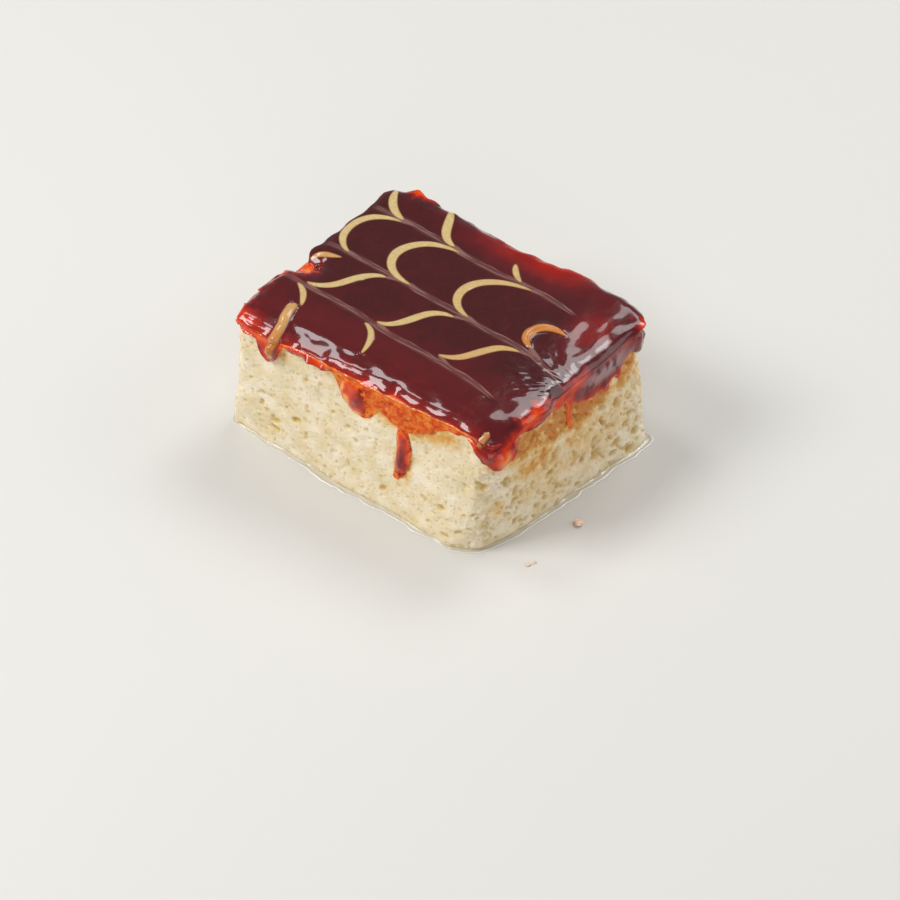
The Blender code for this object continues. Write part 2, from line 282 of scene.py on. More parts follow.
# Wet cake crumb: cut with a knife, so matt, with milk in its pores that gives it a
# faint sheen. Light goes a millimetre or two into it.
crumb_wet, tree, shader, spot = start_material("milk_soaked_crumb")
pale = add_node(tree, "ShaderNodeTexNoise", {"Vector": spot}, {"Scale": 1 / 0.005, "Detail": 4.0})
cream = add_node(tree, "ShaderNodeValToRGB", {"Fac": pale.outputs["Fac"]}, stops=(
    (0.34, srgb(SPONGE_TAN)), (0.5, srgb(SPONGE_CREAM)), (0.66, srgb(SPONGE_PALE))))
warp = add_node(tree, "ShaderNodeTexNoise", {"Vector": spot}, {"Scale": 1 / 0.0016, "Detail": 3.0})
warped = add_node(tree, "ShaderNodeVectorMath", {0: warp.outputs["Color"], 2: spot}, {1: (0.0012, 0.0012, 0.0012)},
                  operation="MULTIPLY_ADD")


def open_cells(size, rarity):
    """Give soft pits of a size in mm, in a part of the cells only."""
    cells = add_node(tree, "ShaderNodeTexVoronoi", {"Vector": warped.outputs[0]}, {"Scale": 1000 / size})
    pit = add_node(tree, "ShaderNodeMapRange", {"Value": cells.outputs["Distance"]},
                   {"From Min": 0.48, "From Max": 0.08}, interpolation_type="SMOOTHSTEP")
    drawn = add_node(tree, "ShaderNodeSeparateXYZ", {0: cells.outputs["Color"]})
    opened = add_node(tree, "ShaderNodeMapRange", {"Value": drawn.outputs[0]},
                      {"From Min": rarity, "From Max": rarity + 0.15})
    return add_node(tree, "ShaderNodeMath", {0: pit.outputs[0], 1: opened.outputs[0]}, operation="MULTIPLY")


# The pores are tinted olive-tan: the crumb's yellower tone inside them together with painted shade in the pits,
# deepest in the modelled pores and in fine specks drawn only as colour and bump.
specks = open_cells(1.0, 0.50)
pits = open_cells(2.3, 0.78)
holes = add_node(tree, "ShaderNodeMath", {0: stored(tree, "pore")}, {1: 0.95}, operation="MULTIPLY", use_clamp=True)
pitted = add_node(tree, "ShaderNodeMath", {0: pits.outputs[0], 2: holes.outputs[0]}, {1: 0.5},
                  operation="MULTIPLY_ADD")
dim = add_node(tree, "ShaderNodeMath", {0: specks.outputs[0], 2: pitted.outputs[0]}, {1: 0.34},
               operation="MULTIPLY_ADD", use_clamp=True)
porous = add_node(tree, "ShaderNodeMix", {0: dim.outputs[0], 6: cream.outputs["Color"]}, {7: srgb(PORE_TONE_AND_SHADE)},
                  data_type="RGBA")
soak = stored(tree, "stain")
yellow = add_node(tree, "ShaderNodeMapRange", {"Value": soak}, {"From Min": 0.05, "From Max": 0.55, "To Max": 0.85})
brown = add_node(tree, "ShaderNodeMapRange", {"Value": soak}, {"From Min": 0.45, "From Max": 1.0, "To Max": 0.8})
tinted = add_node(tree, "ShaderNodeMix", {0: yellow.outputs[0], 6: porous.outputs[2]}, {7: srgb(STAIN_YELLOW)},
                  data_type="RGBA")
stained = add_node(tree, "ShaderNodeMix", {0: brown.outputs[0], 6: tinted.outputs[2]}, {7: srgb(STAIN_BROWN)},
                   data_type="RGBA")
tree.links.new(stained.outputs[2], shader.inputs["Base Color"])
fine = add_node(tree, "ShaderNodeTexNoise", {"Vector": spot}, {"Scale": 1 / 0.0008, "Detail": 4.0, "Roughness": 0.65})
rough_height = add_node(tree, "ShaderNodeMath", {0: specks.outputs[0], 2: fine.outputs["Fac"]}, {1: -0.7},
                        operation="MULTIPLY_ADD")
height = add_node(tree, "ShaderNodeMath", {0: pits.outputs[0], 2: rough_height.outputs[0]}, {1: -1.4},
                  operation="MULTIPLY_ADD")
bump = add_node(tree, "ShaderNodeBump", {"Height": height.outputs[0]}, {"Strength": 0.5, "Distance": 0.0006})
tree.links.new(bump.outputs[0], shader.inputs["Normal"])
set_inputs(shader, {"Roughness": 0.58, "IOR": 1.42, "Subsurface Weight": 0.25, "Subsurface Scale": 0.0016,
                    "Subsurface Radius": (1.0, 0.62, 0.36), "Coat Weight": 0.12, "Coat Roughness": 0.3})
sponge.data.materials.append(crumb_wet)
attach(sponge, "root")
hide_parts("sponge")

# The caramel glaze. Boiled caramel with gelatine, poured on warm and set to a glossy
# sheet: dark where it is thick, red and then orange where it thins over the edges. Lines
# of pale caramel cream were piped on it and dragged into arcs with a pick while wet.
GLAZE_GRID = 0.37 * MM
GLAZE_TOP = 41.2               # mm
FULL_DEPTH = 3.2               # mm of caramel over the middle of the sponge
# Where the sheet only just turns over the front edge: middle along X, half width, and the
# share of its hang that it lacks there.
TRIMS = ((-21.5, 8.5, 0.56), (-46.5, 3.5, 0.38), (31.5, 4.2, 0.33))
# Where the caramel is thinner or thicker than its sheet tells: middle, half sizes, depth in mm.
DEPTHS = (
    ((36.0, 17.0, 41.0), (7.5, 13.0, 3.0), 1.50),
    ((8.0, 33.5, 40.5), (27.0, 9.0, 3.0), 0.95),
    ((13.0, 36.0, 40.5), (12.0, 3.0, 3.0), 0.45),
    ((-43.0, -30.5, 40.0), (6.0, 4.0, 4.0), 1.55),
    ((-47.2, -29.0, 39.5), (2.5, 5.0, 4.0), 0.42),
    ((-47.2, -20.0, 40.5), (1.8, 7.0, 3.0), 0.25),
    ((-33.0, 38.0, 42.0), (7.2, 3.2, 5.0), 0.20),
    ((-41.4, -5.2, 40.0), (3.7, 4.3, 4.0), 0.13),
    ((-45.6, -10.5, 40.5), (2.2, 3.6, 3.0), 0.30),
    ((43.4, 13.0, 34.5), (4.0, 9.5, 5.6), 1.90),
    ((42.6, 4.0, 33.0), (3.5, 5.0, 3.6), 1.70),
    ((44.9, 27.0, 35.5), (3.5, 5.0, 4.0), 1.60),
    ((42.2, 1.0, 37.6), (3.0, 5.5, 1.9), 0.48),
    ((42.3, -4.5, 34.0), (3.5, 3.4, 3.4), 0.60),
    ((45.4, 31.0, 40.4), (3.4, 4.0, 2.6), 0.22),
    ((39.0, 35.5, 40.6), (6.0, 2.0, 2.0), 0.45),
    ((40.8, -17.0, 38.8), (2.8, 8.0, 2.4), 0.32),
    ((42.6, -4.2, 30.5), (1.6, 1.8, 5.0), 0.75),
    ((37.0, -30.6, 37.6), (4.6, 3.0, 2.4), 2.80),
    ((35.8, -32.6, 34.6), (3.0, 2.4, 4.4), 2.60),
    ((40.8, -29.0, 34.2), (2.4, 3.2, 3.9), 0.20),
    ((-4.4, -32.4, 31.6), (1.9, 2.4, 3.2), 1.90),
    ((-10.1, -32.4, 34.6), (1.5, 2.4, 2.2), 0.05),
    ((-8.1, -32.6, 31.0), (1.5, 2.4, 2.2), 0.05),
    ((-4.8, -32.4, 27.0), (1.7, 2.4, 1.6), 0.06),
    ((10.2, -33.4, 20.6), (1.2, 2.4, 5.0), 3.20),
    ((8.2, -33.2, 24.0), (0.8, 2.4, 3.2), 0.05),
)
LARGE_PATCH = 9.0              # mm: half size from which a patch's border is even
# The cream that was piped and dragged into arcs, in plan.
PIPED = (
    # start, first handle, second handle, end, half width, how browned it is
    ((-40.6, 35.4), (-39.1, 30.0), (-36.9, 26.8), (-31.7, 25.6), 1.3, 0.0),
    ((-23.2, 36.2), (-19.5, 32.8), (-20.1, 25.4), (-13.7, 24.4), 1.4, 0.0),
    ((4.5, 27.6), (5.5, 26.2), (6.7, 24.0), (9.6, 22.7), 0.95, 0.1),
    ((-31.7, 24.4), (-43.9, 23.8), (-44.1, 8.0), (-35.9, 6.1), 1.3, 0.0),
    ((-11.3, 23.1), (-28.1, 22.8), (-28.9, 5.0), (-14.5, 4.6), 1.4, 0.0),
    ((13.6, 21.3), (-3.5, 20.0), (-5.1, 5.0), (5.7, 3.0), 1.4, 0.15),
    ((31.0, 11.8), (23.4, 13.4), (19.9, 5.0), (26.3, 2.5), 1.5, 0.9),
    ((-21.3, 3.1), (-28.1, 2.4), (-28.5, -10.2), (-37.0, -10.5), 1.3, 0.0),
    ((2.8, 0.6), (-6.5, 0.4), (-4.5, -12.0), (-12.2, -12.5), 1.3, 0.05),
    ((24.8, -0.6), (15.7, -1.0), (17.3, -12.4), (8.6, -13.6), 1.3, 0.3),
    ((-36.0, 2.9), (-39.7, 1.6), (-41.5, 1.0), (-43.2, -1.4), 0.9, 0.45),
    ((-38.9, -12.4), (-36.1, -13.2), (-34.1, -16.0), (-32.8, -19.0), 0.95, 0.1),
    ((-14.7, -14.8), (-10.7, -16.0), (-8.9, -19.4), (-8.5, -24.7), 0.95, 0.1),
)
# The blobs of cream that slid over the front edge: half width, and places on the middle line.
SLID = ((1.7, ((-34.4, -20.9, 41.9), (-33.6, -24.6, 41.9), (-32.6, -28.0, 41.6), (-32.0, -31.4, 39.8),
               (-32.6, -33.6, 36.2), (-33.6, -34.4, 33.2))),
        (1.0, ((34.6, -29.4, 39.8), (34.4, -30.6, 39.2), (34.0, -31.6, 38.4))))
DRAGS = (   # the pick's three tracks: x and y along each, right across the top
    ((-44, 24.9), (-33, 25.7), (-22, 24.6), (-11.7, 23.5), (2.6, 21.9), (10, 22.3), (20, 21.3), (30, 19.6)),
    ((-44, 4.9), (-36, 5.8), (-27, 5.1), (-16, 4.3), (-6, 3.5), (12.6, 1.5), (27, 0.5), (34, -1.3), (42, -4.5)),
    ((-44, -11.6), (-30.3, -12.0), (-19.6, -12.7), (-8.8, -14.2), (1.2, -15.2), (16.2, -16.3), (30.4, -19.2)),
)
# How far the sheet hangs past the back of the sponge.
BACK_OVERHANG = ((-44.0, 0.3), (-38.0, 0.8), (-26.0, 2.0), (-19.0, 2.0), (-9.0, 2.4), (-3.0, 1.1), (7.0, 1.0),
                 (14.0, 2.2), (24.0, 2.0), (30.0, 1.0), (37.0, 0.9), (44.0, 0.5))   # x, mm past the sponge
# Where the edge of the top stands out: middle and half sizes in plan, and the push in mm.
PUSHES = (
    ((-34.5, 36.0), (4.6, 2.6), (0.0, 2.6, 2.2)),       # the raised flap at the back left
    ((-28.2, 35.8), (2.4, 1.8), (0.0, 1.2, 1.2)),
    ((-45.8, -12.4), (1.5, 1.7), (-0.3, 0.0, 1.3)),     # two nubs beside the torn spot
    ((-45.0, -8.6), (1.4, 1.5), (-0.2, 0.0, 1.1)),
    ((45.5, 30.5), (3.6, 3.8), (2.3, 0.7, 0.9)),        # the back right corner
)
# In plan, middle and half sizes in mm: the spot where the sheet is torn, the dent round it,
# and the swirled ridges, which run together at their hub past the right edge.
TORN_SPOT = ((-42.0, -5.0), (2.6, 4.0))
DENT = ((-41.3, -3.8), (4.6, 4.2))
DENT_DEPTH = 1.3               # mm
SWIRL = ((32.0, -4.5), (9.5, 10.0))
SWIRL_HUB = (47.5, -0.5)
LARGEST_DROOP = 2.4            # mm that the top sinks at most towards the front and right
# Where it bulges: middle, half sizes, mm along the surface's own direction.
BULGES = (
    ((36.6, -32.2, 35.6), (2.6, 2.0, 2.8), 0.9),
    ((40.2, -29.4, 34.4), (1.8, 2.2, 2.6), 0.7),
    ((-4.4, -32.4, 31.0), (2.0, 2.0, 3.2), 0.5),
    ((10.0, -33.4, 18.5), (1.2, 2.0, 3.2), 0.5),
    ((45.6, 27.0, 36.5), (2.0, 3.0, 3.0), 0.6),
)
# Bubbles that set in the caramel: place on the top and radius.
BUBBLES = ((-40.2, -2.2, 1.0), (-38.5, -3.0, 0.85), (-39.4, -4.4, 0.6), (-35.4, -19.8, 1.0), (-33.5, -19.4, 0.7),
           (-9.0, -25.4, 0.95), (-7.5, -25.0, 0.6))


def curve_points(a, b, c, d, count):
    """Give even steps along a curve with two handles."""
    a, b, c, d = (Vector(p) for p in (a, b, c, d))
    steps = [i / (count - 1) for i in range(count)]
    return [a * (1 - t) ** 3 + b * 3 * (1 - t) ** 2 * t + c * 3 * (1 - t) * t * t + d * t ** 3 for t in steps]


def blended(points, steps):
    """Round a few places into an even curve through them."""
    places = [Vector(p) for p in points]
    ends = [places[0] * 2 - places[1]] + places + [places[-1] * 2 - places[-2]]
    path = []
    for a, b, c, d in zip(ends, ends[1:], ends[2:], ends[3:]):
        for i in range(steps):
            t = i / steps
            path.append(0.5 * (2 * b + (c - a) * t + (2 * a - 5 * b + 4 * c - d) * t * t
                               + (3 * b - a - 3 * c + d) * t ** 3))
    return path + [places[-1]]


def even(piece, values, rounds):
    """Blur numbers kept at a piece's vertices along its edges."""
    ends = np.empty(len(piece.data.edges) * 2, int)
    piece.data.edges.foreach_get("vertices", ends)
    a, b = ends.reshape(-1, 2).T
    count = np.bincount(a, minlength=len(values)) + np.bincount(b, minlength=len(values)) + 1.0
    for _ in range(rounds):
        total = values + np.bincount(a, values[b], len(values)) + np.bincount(b, values[a], len(values))
        values = total / count
    return values


glaze = piece_from_node("caramel_glaze", "glaze")
apply_modifier(glaze, "even grid", "REMESH", mode="VOXEL", voxel_size=GLAZE_GRID, use_smooth_shade=True)
apply_modifier(glaze, "flow together", "SMOOTH", factor=0.5, iterations=5)
merge_hidden(glaze, 38.1, 38.6)

places = get_places(glaze)
normals = get_normals(glaze)
skin = BVHTree.FromPolygons([Vector(p) for p in places], [p.vertices[:] for p in glaze.data.polygons])
thick = np.empty(len(places))
for index, (place, normal) in enumerate(zip(places, normals)):
    inward = -Vector(normal)
    hit = skin.ray_cast(Vector(place) + inward * 0.05, inward, 4.0)
    thick[index] = hit[3] if hit[3] is not None else 4.0
thick = even(glaze, thick, 3)

for middle, half, lacking in TRIMS:
    near = np.clip(1.0 - ((places[:, 0] - middle) / half) ** 2, 0.0, 1.0) ** 0.6
    near *= (places[:, 1] < -26.0) & ((normals[:, 2] > -0.7) | (places[:, 2] < 37.5))
    places[:, 2] += lacking * near * np.clip(GLAZE_TOP - places[:, 2], 0.0, None)

hanging = 1.0 - rise(places[:, 2], 34.0, 40.0)
places[:, 2] += hanging * (0.5 * lumps(places * (1, 1, 0), 3.2, 17.0) + 0.35 * lumps(places * (1, 1, 0), 1.5, 18.0))

# Lay the hanging parts against the crumb: its back just inside it, its face as far
# out as it is thick there, thinning to nothing at its border.
foot = np.empty((len(places), 3))
out = np.empty((len(places), 3))
for index, place in enumerate(places):
    spot_on, facing, _, _ = wall.find_nearest(Vector(place))
    foot[index] = spot_on
    out[index] = facing
facing_out = (normals * out).sum(1)
hung = 1.0 - rise(places[:, 2] + 0.9 * lumps(places * (1, 1, 0), 4.2, 8.0) - 0.6 * (places[:, 1] < -20.0), 38.9, 40.5)
inner = (facing_out < -0.4) & (places[:, 2] < 38.2)
back = kdtree.KDTree(int(inner.sum()))
for index in np.nonzero(inner)[0]:
    back.insert(places[index], index)
back.balance()
highest = np.where(places[:, 0] > 30.0, 37.2, 40.4)      # on the right the fold itself is no border
rim = [i for i in np.nonzero((np.abs(facing_out) < 0.4) & (places[:, 2] < highest))[0]
       if back.find(places[i])[2] < 0.85]
border = kdtree.KDTree(len(rim))
for index in rim:
    border.insert(places[index], index)
border.balance()
edge = np.array([border.find(place)[2] for place in places])
film = 0.22 + 0.75 * np.clip(thick - 0.85, 0.0, None)
film *= np.clip(1.0 + 0.7 * lumps(places, 3.4, 9.0), 0.4, 1.8)
film *= np.sqrt(np.clip((edge + 0.15) / 1.8, 0.0, 1.0))
laid = foot + out * film[:, None]
sunk = foot - out * 0.6
outer = (facing_out > -0.4) | (normals[:, 2] > 0.5)
moved = np.where(outer[:, None], laid, sunk)
share = np.where(outer, hung, (places[:, 2] < 37.9) * 1.0)
places += (moved - places) * share[:, None]
for axis in range(3):
    soft = even(glaze, places[:, axis], 2)
    places[:, axis] += (soft - places[:, axis]) * hung * outer
set_places(glaze, places)
normals = get_normals(glaze)

# The slow swells of a poured sheet on the top, and its lumpier roll over the edges.
flat = rise(normals[:, 2], 0.93, 0.985) * rise(places[:, 2], 39.6, 40.6)
flat = even(glaze, flat, 4)
level = GLAZE_TOP + 0.16 * lumps(places * (1, 1, 0), 12.0, 4.0)
lip = rise(places[:, 2], 38.4, 40.2) * outer
for centre, spread, push in PUSHES:
    near = np.exp(-patch_reach(places[:, :2], centre, spread)) * lip
    places += near[:, None] * np.array(push)
near_back = rise(places[:, 1], 27.0, 34.0) * lip
places[:, 1] += near_back * np.interp(places[:, 0], *np.array(BACK_OVERHANG).T)
level += 0.5 * rise(places[:, 1], 27.0, 34.0)
near_left = rise(-places[:, 0], 38.0, 45.0) * rise(places[:, 1], -30.0, -20.0) * lip
past_left = 1.3 - 0.6 * rise(places[:, 1], -2.0, 6.0) - 0.6 * np.exp(-((places[:, 1] + 4.0) / 5.0) ** 2)
past_left -= 1.1 * np.exp(-((places[:, 1] - 17.0) / 10.0) ** 2)
places[:, 0] -= near_left * past_left
level += 0.45 * rise(-places[:, 0], 36.0, 44.0) * rise(places[:, 1], -30.0, -20.0)
level -= DENT_DEPTH * np.exp(-patch_reach(places[:, :2], *DENT))
places[:, 2] += (level - places[:, 2]) * flat
droop = 1.35 * rise(-places[:, 1], 23.5, 32.0) * (1.0 - 0.55 * rise(-places[:, 0], 35.0, 41.0))
droop += 2.1 * np.clip((places[:, 0] - 25.0) / 20.0, 0.0, 1.0) ** 1.8 * (1.0 - 0.65 * rise(places[:, 1], 8.0, 28.0))
droop += 0.9 * rise(-places[:, 1], 24.5, 31.5) * np.exp(-((places[:, 0] + 19.0) / 9.0) ** 2)
above = rise(places[:, 2], 36.6, 40.4) * outer
places[:, 2] -= np.minimum(droop, LARGEST_DROOP) * above
settled = rise(places[:, 2], 38.9, 39.8) * rise(normals[:, 2], 0.55, 0.85) * outer
places[:, 2] += (even(glaze, places[:, 2], 14) - places[:, 2]) * settled
brow = rise(places[:, 0], 31.0, 38.0) * rise(places[:, 2], 35.6, 37.6) * outer    # the soft right edge
brow *= 1.0 - 0.9 * rise(places[:, 1], 22.0, 29.0)
for axis in range(3):
    places[:, axis] += (even(glaze, places[:, axis], 50) - places[:, axis]) * brow
under = ~outer & (places[:, 2] > 36.0) & (places[:, 2] < 39.6)    # kept inside the softened edge
places[:, 0] -= 1.5 * under * rise(places[:, 0], 37.0, 41.5)
square = rise(-places[:, 0], 37.0, 42.0) * rise(places[:, 1], -4.0, 3.0) * rise(places[:, 2], 38.7, 39.9) * outer
places[:, 2] += 0.6 * square * np.clip(GLAZE_TOP + 0.45 - places[:, 2], 0.0, None)    # the crisp left edge
roll = np.maximum((1.0 - flat) * (1.0 - hung), 0.8 * rise(droop, 0.15, 1.0))
roll = np.maximum(roll, 0.7 * rise(places[:, 0], 27.0, 34.0)) * above
swell = 0.55 * lumps(places, 6.0, 6.0) + 0.08 * lumps(places, 2.8, 7.0)
swell *= 1.0 - 0.20 * rise(places[:, 0], 26.0, 34.0)
swell *= 1.0 - 0.70 * rise(-places[:, 0], 37.0, 42.0) * rise(places[:, 1], -1.0, 6.0)
crumbs = 0.26 * lumps(places, 2.4, 2.0) + 0.26 * lumps(places, 1.2, 3.0)
on_front = (places[:, 0] < 36.0) & (film < 0.6)
places += normals * (swell * roll + crumbs * hung * outer * on_front * np.clip(edge / 1.5, 0.0, 1.0))[:, None]
for centre, spread, bulge in BULGES:
    near = np.exp(-patch_reach(places, centre, spread)) * outer
    places += normals * (bulge * near)[:, None]

# Depth of caramel that the light goes through, in mm, which gives its colour.
depth = FULL_DEPTH + (np.minimum(film * 1.05, FULL_DEPTH) - FULL_DEPTH) * hung
uneven_borders = np.clip(1.0 + 1.1 * lumps(places, 2.6, 25.0, 2), 0.4, 2.0)
for centre, spread, there in DEPTHS:
    reach = patch_reach(places, centre, spread)
    if max(spread) < LARGE_PATCH:
        reach *= uneven_borders
    depth += (there - depth) * np.exp(-reach ** 1.5)
depth *= 1.0 - 0.32 * rise(-places[:, 1], 4.0, 22.0) * np.maximum(flat, rise(-places[:, 1], 22.0, 27.0))
depth *= 1.0 - 0.40 * rise(-places[:, 1], 26.5, 31.5) * (places[:, 0] < 33.0) * rise(places[:, 2], 35.8, 37.5)
depth *= 1.0 + 0.14 * lumps(places, 9.0, 12.0) + 0.45 * lumps(places, 3.0, 13.0, 2) * hung
depth *= 1.0 - 0.3 * hung * (places[:, 1] < -26.0)
tongue = np.exp(-((places[:, 0] - 35.6) / 2.8) ** 2) * (places[:, 1] < -30.0)
fringe = 0.14 + (0.7 + 0.9 * hung * np.maximum(rise(thick, 1.1, 1.6), 2.0 * tongue)) * edge
depth = np.minimum(depth, np.where(outer, fringe, 4.0))

# How far each spot is from the edge of the piped cream, below zero inside it.
piped = np.full(len(places), 4.0)
browned = np.zeros(len(places))
for a, b, c, d, half, brown in PIPED:
    for i, spot_on in enumerate(curve_points(a, b, c, d, 61)):
        width = half * math.sin(math.pi * (0.02 + 0.96 * i / 60)) ** 0.45
        reach = np.hypot(places[:, 0] - spot_on.x, places[:, 1] - spot_on.y) - width
        reach = np.where(places[:, 2] > 38.6, reach, 4.0)
        browned = np.where(reach < piped, brown, browned)
        piped = np.minimum(piped, reach)
proud = np.where(browned > 0.45, 0.55, 0.10)
places[:, 2] += proud * np.sqrt(np.clip(-piped / 1.1, 0.0, 1.0)) * flat
slid = np.full(len(places), 4.0)
for half, path in SLID:
    for spot_on in blended(path, 8):
        reach = np.linalg.norm((places - np.array(spot_on)) * (1.0, 1.0, 0.75), axis=1) - half
        slid = np.minimum(slid, reach)
slid = np.where(outer, slid, 4.0)
browned = np.where(slid < piped, 0.32 + 0.14 * np.clip(42.6 - places[:, 2], 0.0, 5.0), browned)
piped = np.minimum(piped, slid)
places += normals * (0.95 * np.sqrt(np.clip(-slid / SLID[0][0], 0.0, 1.0)))[:, None]

beside = np.full(len(places), 9.0)
lean = np.zeros(len(places))
tracks = [np.array(blended([(x, y, 0.0) for x, y in track], 6)) for track in DRAGS]
for path in tracks:
    signed = places[:, 1] - np.interp(places[:, 0], path[:, 0], path[:, 1])
    signed += 0.25 * lumps(places * (1, 0, 0), 5.0, 16.0)
    past = np.clip(places[:, 0] - path[-1, 0] + 6.0, 0.0, None) * 0.3
    closer = np.abs(signed) + past < beside
    lean = np.where(closer, signed * (1.0 - rise(np.abs(signed), 2.2, 4.2)), lean)
    beside = np.where(closer, np.abs(signed) + past, beside)
tail = np.full(len(places), 4.0)
for a, _, _, d, half, _ in PIPED:
    for end in (a, d):
        for path in tracks:
            if abs(end[1] - np.interp(end[0], path[:, 0], path[:, 1])) > 2.6 or end[0] > path[-1, 0] - 4.0:
                continue
            for i in range(41):
                t = i / 40
                x = end[0] - 0.4 + 9.5 * t
                y_on = np.interp(x, path[:, 0], path[:, 1])
                y = end[1] + (y_on - end[1]) * (1.0 - (1.0 - t) ** 2)
                width = 0.62 * half * min(1.0, t / 0.12) * (1.0 - t) ** 1.2 - 0.05
                tail = np.minimum(tail, np.hypot(places[:, 0] - x, places[:, 1] - y) - width)
swirl = np.exp(-patch_reach(places[:, :2], *SWIRL) ** 2)
turn = np.arctan2(places[:, 1] - SWIRL_HUB[1], SWIRL_HUB[0] - places[:, 0])
from_hub = np.hypot(places[:, 0] - SWIRL_HUB[0], places[:, 1] - SWIRL_HUB[1])
combed = np.column_stack((turn * 9.0, from_hub / 5.0, turn * 0.0))    # the ridges fan out from the hub
places[:, 2] += flat * swirl * 0.26 * lumps(combed, 1.0, 14.0, 2)
places[:, 2] -= flat * 0.10 * np.exp(-(beside / 0.8) ** 2)
torn = np.exp(-patch_reach(places[:, :2], *TORN_SPOT) ** 2) * outer
places += normals * (torn * (0.55 * lumps(places, 1.7, 21.0) + 0.3 * lumps(places, 0.9, 22.0)))[:, None]
# A painted reflection: a grey-lilac sheen painted into the colour of the caramel film down the right face, where it
# mirrors the bright floor and softboxes to the right.
painted_sheen = np.exp(-((places[:, 1] - 13.5) / 10.0) ** 4 - ((places[:, 2] - 34.2) / 3.0) ** 4) * (places[:, 0] > 38.0)
painted_sheen *= np.clip(0.80 + 1.7 * lumps(places * (1.0, 1.0, 0.7), 2.6, 31.0, 3), 0.0, 1.0) * outer
places = sag(places)
set_places(glaze, places)

store(glaze, "painted_sheen", painted_sheen)
store(glaze, "depth", depth)
store(glaze, "piped", piped)
store(glaze, "browned", even(glaze, browned, 2))
store(glaze, "beside", beside)
store(glaze, "lean", lean)
store(glaze, "tail", tail)
store(glaze, "top", flat)
store(glaze, "swirl", np.maximum(swirl, 0.30 * rise(droop, 0.3, 1.2)))

# Set caramel: smooth as it dried, so mirror-bright. Its own colour only depends on how much
# of it the light goes through; down the right face a painted grey-lilac reflection is mixed in.
caramel, tree, shader, spot = start_material("set_caramel_glaze")
cloud = add_node(tree, "ShaderNodeTexNoise", {"Vector": spot}, {"Scale": 1 / 0.004, "Detail": 3.0, "Roughness": 0.5})
uneven = add_node(tree, "ShaderNodeMapRange", {"Value": cloud.outputs["Fac"]},
                  {"From Min": 0.25, "From Max": 0.75, "To Min": 0.88, "To Max": 1.12})
depths = add_node(tree, "ShaderNodeMath", {0: stored(tree, "depth"), 1: uneven.outputs[0]}, operation="MULTIPLY")
share = add_node(tree, "ShaderNodeMath", {0: depths.outputs[0]}, {1: 4.0}, operation="DIVIDE", use_clamp=True)
body = add_node(tree, "ShaderNodeValToRGB", {"Fac": share.outputs[0]}, stops=(
    (0.012, srgb("DC9A48")), (0.045, srgb("E06008")), (0.10, srgb("CC3602")), (0.20, srgb("A01C06")),
    (0.32, srgb("7E1410")), (0.50, srgb("570C10")), (0.80, srgb("3E0709"))))
edge_of_cream = stored(tree, "piped")
inside = add_node(tree, "ShaderNodeMapRange", {"Value": edge_of_cream}, {"From Min": 0.10, "From Max": -0.18})
heart = add_node(tree, "ShaderNodeMapRange", {"Value": edge_of_cream}, {"From Min": 0.0, "From Max": -0.4})
froth = add_node(tree, "ShaderNodeTexNoise", {"Vector": spot}, {"Scale": 1 / 0.0009, "Detail": 3.0, "Roughness": 0.6})
whipped = add_node(tree, "ShaderNodeMapRange", {"Value": froth.outputs["Fac"]},
                   {"From Min": 0.36, "From Max": 0.60, "To Min": 0.65, "To Max": 1.0})
filled = add_node(tree, "ShaderNodeMath", {0: heart.outputs[0], 1: whipped.outputs[0]}, operation="MULTIPLY")
pale = add_node(tree, "ShaderNodeMix", {0: filled.outputs[0]}, {6: srgb("A07C46"), 7: srgb("C3AD7A")},
                data_type="RGBA")
toasted = add_node(tree, "ShaderNodeMix", {0: heart.outputs[0]}, {6: srgb("8A3E0C"), 7: srgb("BA702A")},
                   data_type="RGBA")
icing = add_node(tree, "ShaderNodeMix", {0: stored(tree, "browned"), 6: pale.outputs[2], 7: toasted.outputs[2]},
                 data_type="RGBA")
beside_track = stored(tree, "beside")
lean_of_track = stored(tree, "lean")
run = add_node(tree, "ShaderNodeSeparateXYZ", {0: spot})
traces = None
for shift, seed, step in ((-0.42, 3.1, 0.013), (0.05, 8.6, 0.017), (0.48, 15.4, 0.011)):
    along = add_node(tree, "ShaderNodeMath", {0: run.outputs[0]}, {1: 1 / step, 2: seed}, operation="MULTIPLY_ADD")
    walk = add_node(tree, "ShaderNodeCombineXYZ", {0: along.outputs[0]}, {1: seed})
    wander = add_node(tree, "ShaderNodeTexNoise", {"Vector": walk.outputs[0]}, {"Scale": 1.0, "Detail": 2.0})
    swing = add_node(tree, "ShaderNodeMath", {0: wander.outputs["Fac"]}, {1: 2.4, 2: shift - 1.2},
                     operation="MULTIPLY_ADD")
    off = add_node(tree, "ShaderNodeMath", {0: lean_of_track, 1: swing.outputs[0]}, operation="SUBTRACT")
    near = add_node(tree, "ShaderNodeMath", {0: off.outputs[0]}, operation="ABSOLUTE")
    thread = add_node(tree, "ShaderNodeMapRange", {"Value": near.outputs[0]}, {"From Min": 0.27, "From Max": 0.05},
                      interpolation_type="SMOOTHSTEP")
    fade = add_node(tree, "ShaderNodeTexNoise", {"Vector": walk.outputs[0]}, {"Scale": 1.7, "Detail": 1.0})
    strength = add_node(tree, "ShaderNodeMapRange", {"Value": fade.outputs["Fac"]},
                        {"From Min": 0.38, "From Max": 0.6, "To Min": 0.25})
    thread = add_node(tree, "ShaderNodeMath", {0: thread.outputs[0], 1: strength.outputs[0]}, operation="MULTIPLY")
    if traces:
        traces = add_node(tree, "ShaderNodeMath", {0: traces.outputs[0], 1: thread.outputs[0]}, operation="MAXIMUM")
    else:
        traces = thread
haze = add_node(tree, "ShaderNodeMapRange", {"Value": beside_track},
                {"From Min": 1.5, "From Max": 0.2, "To Max": 0.26}, interpolation_type="SMOOTHSTEP")
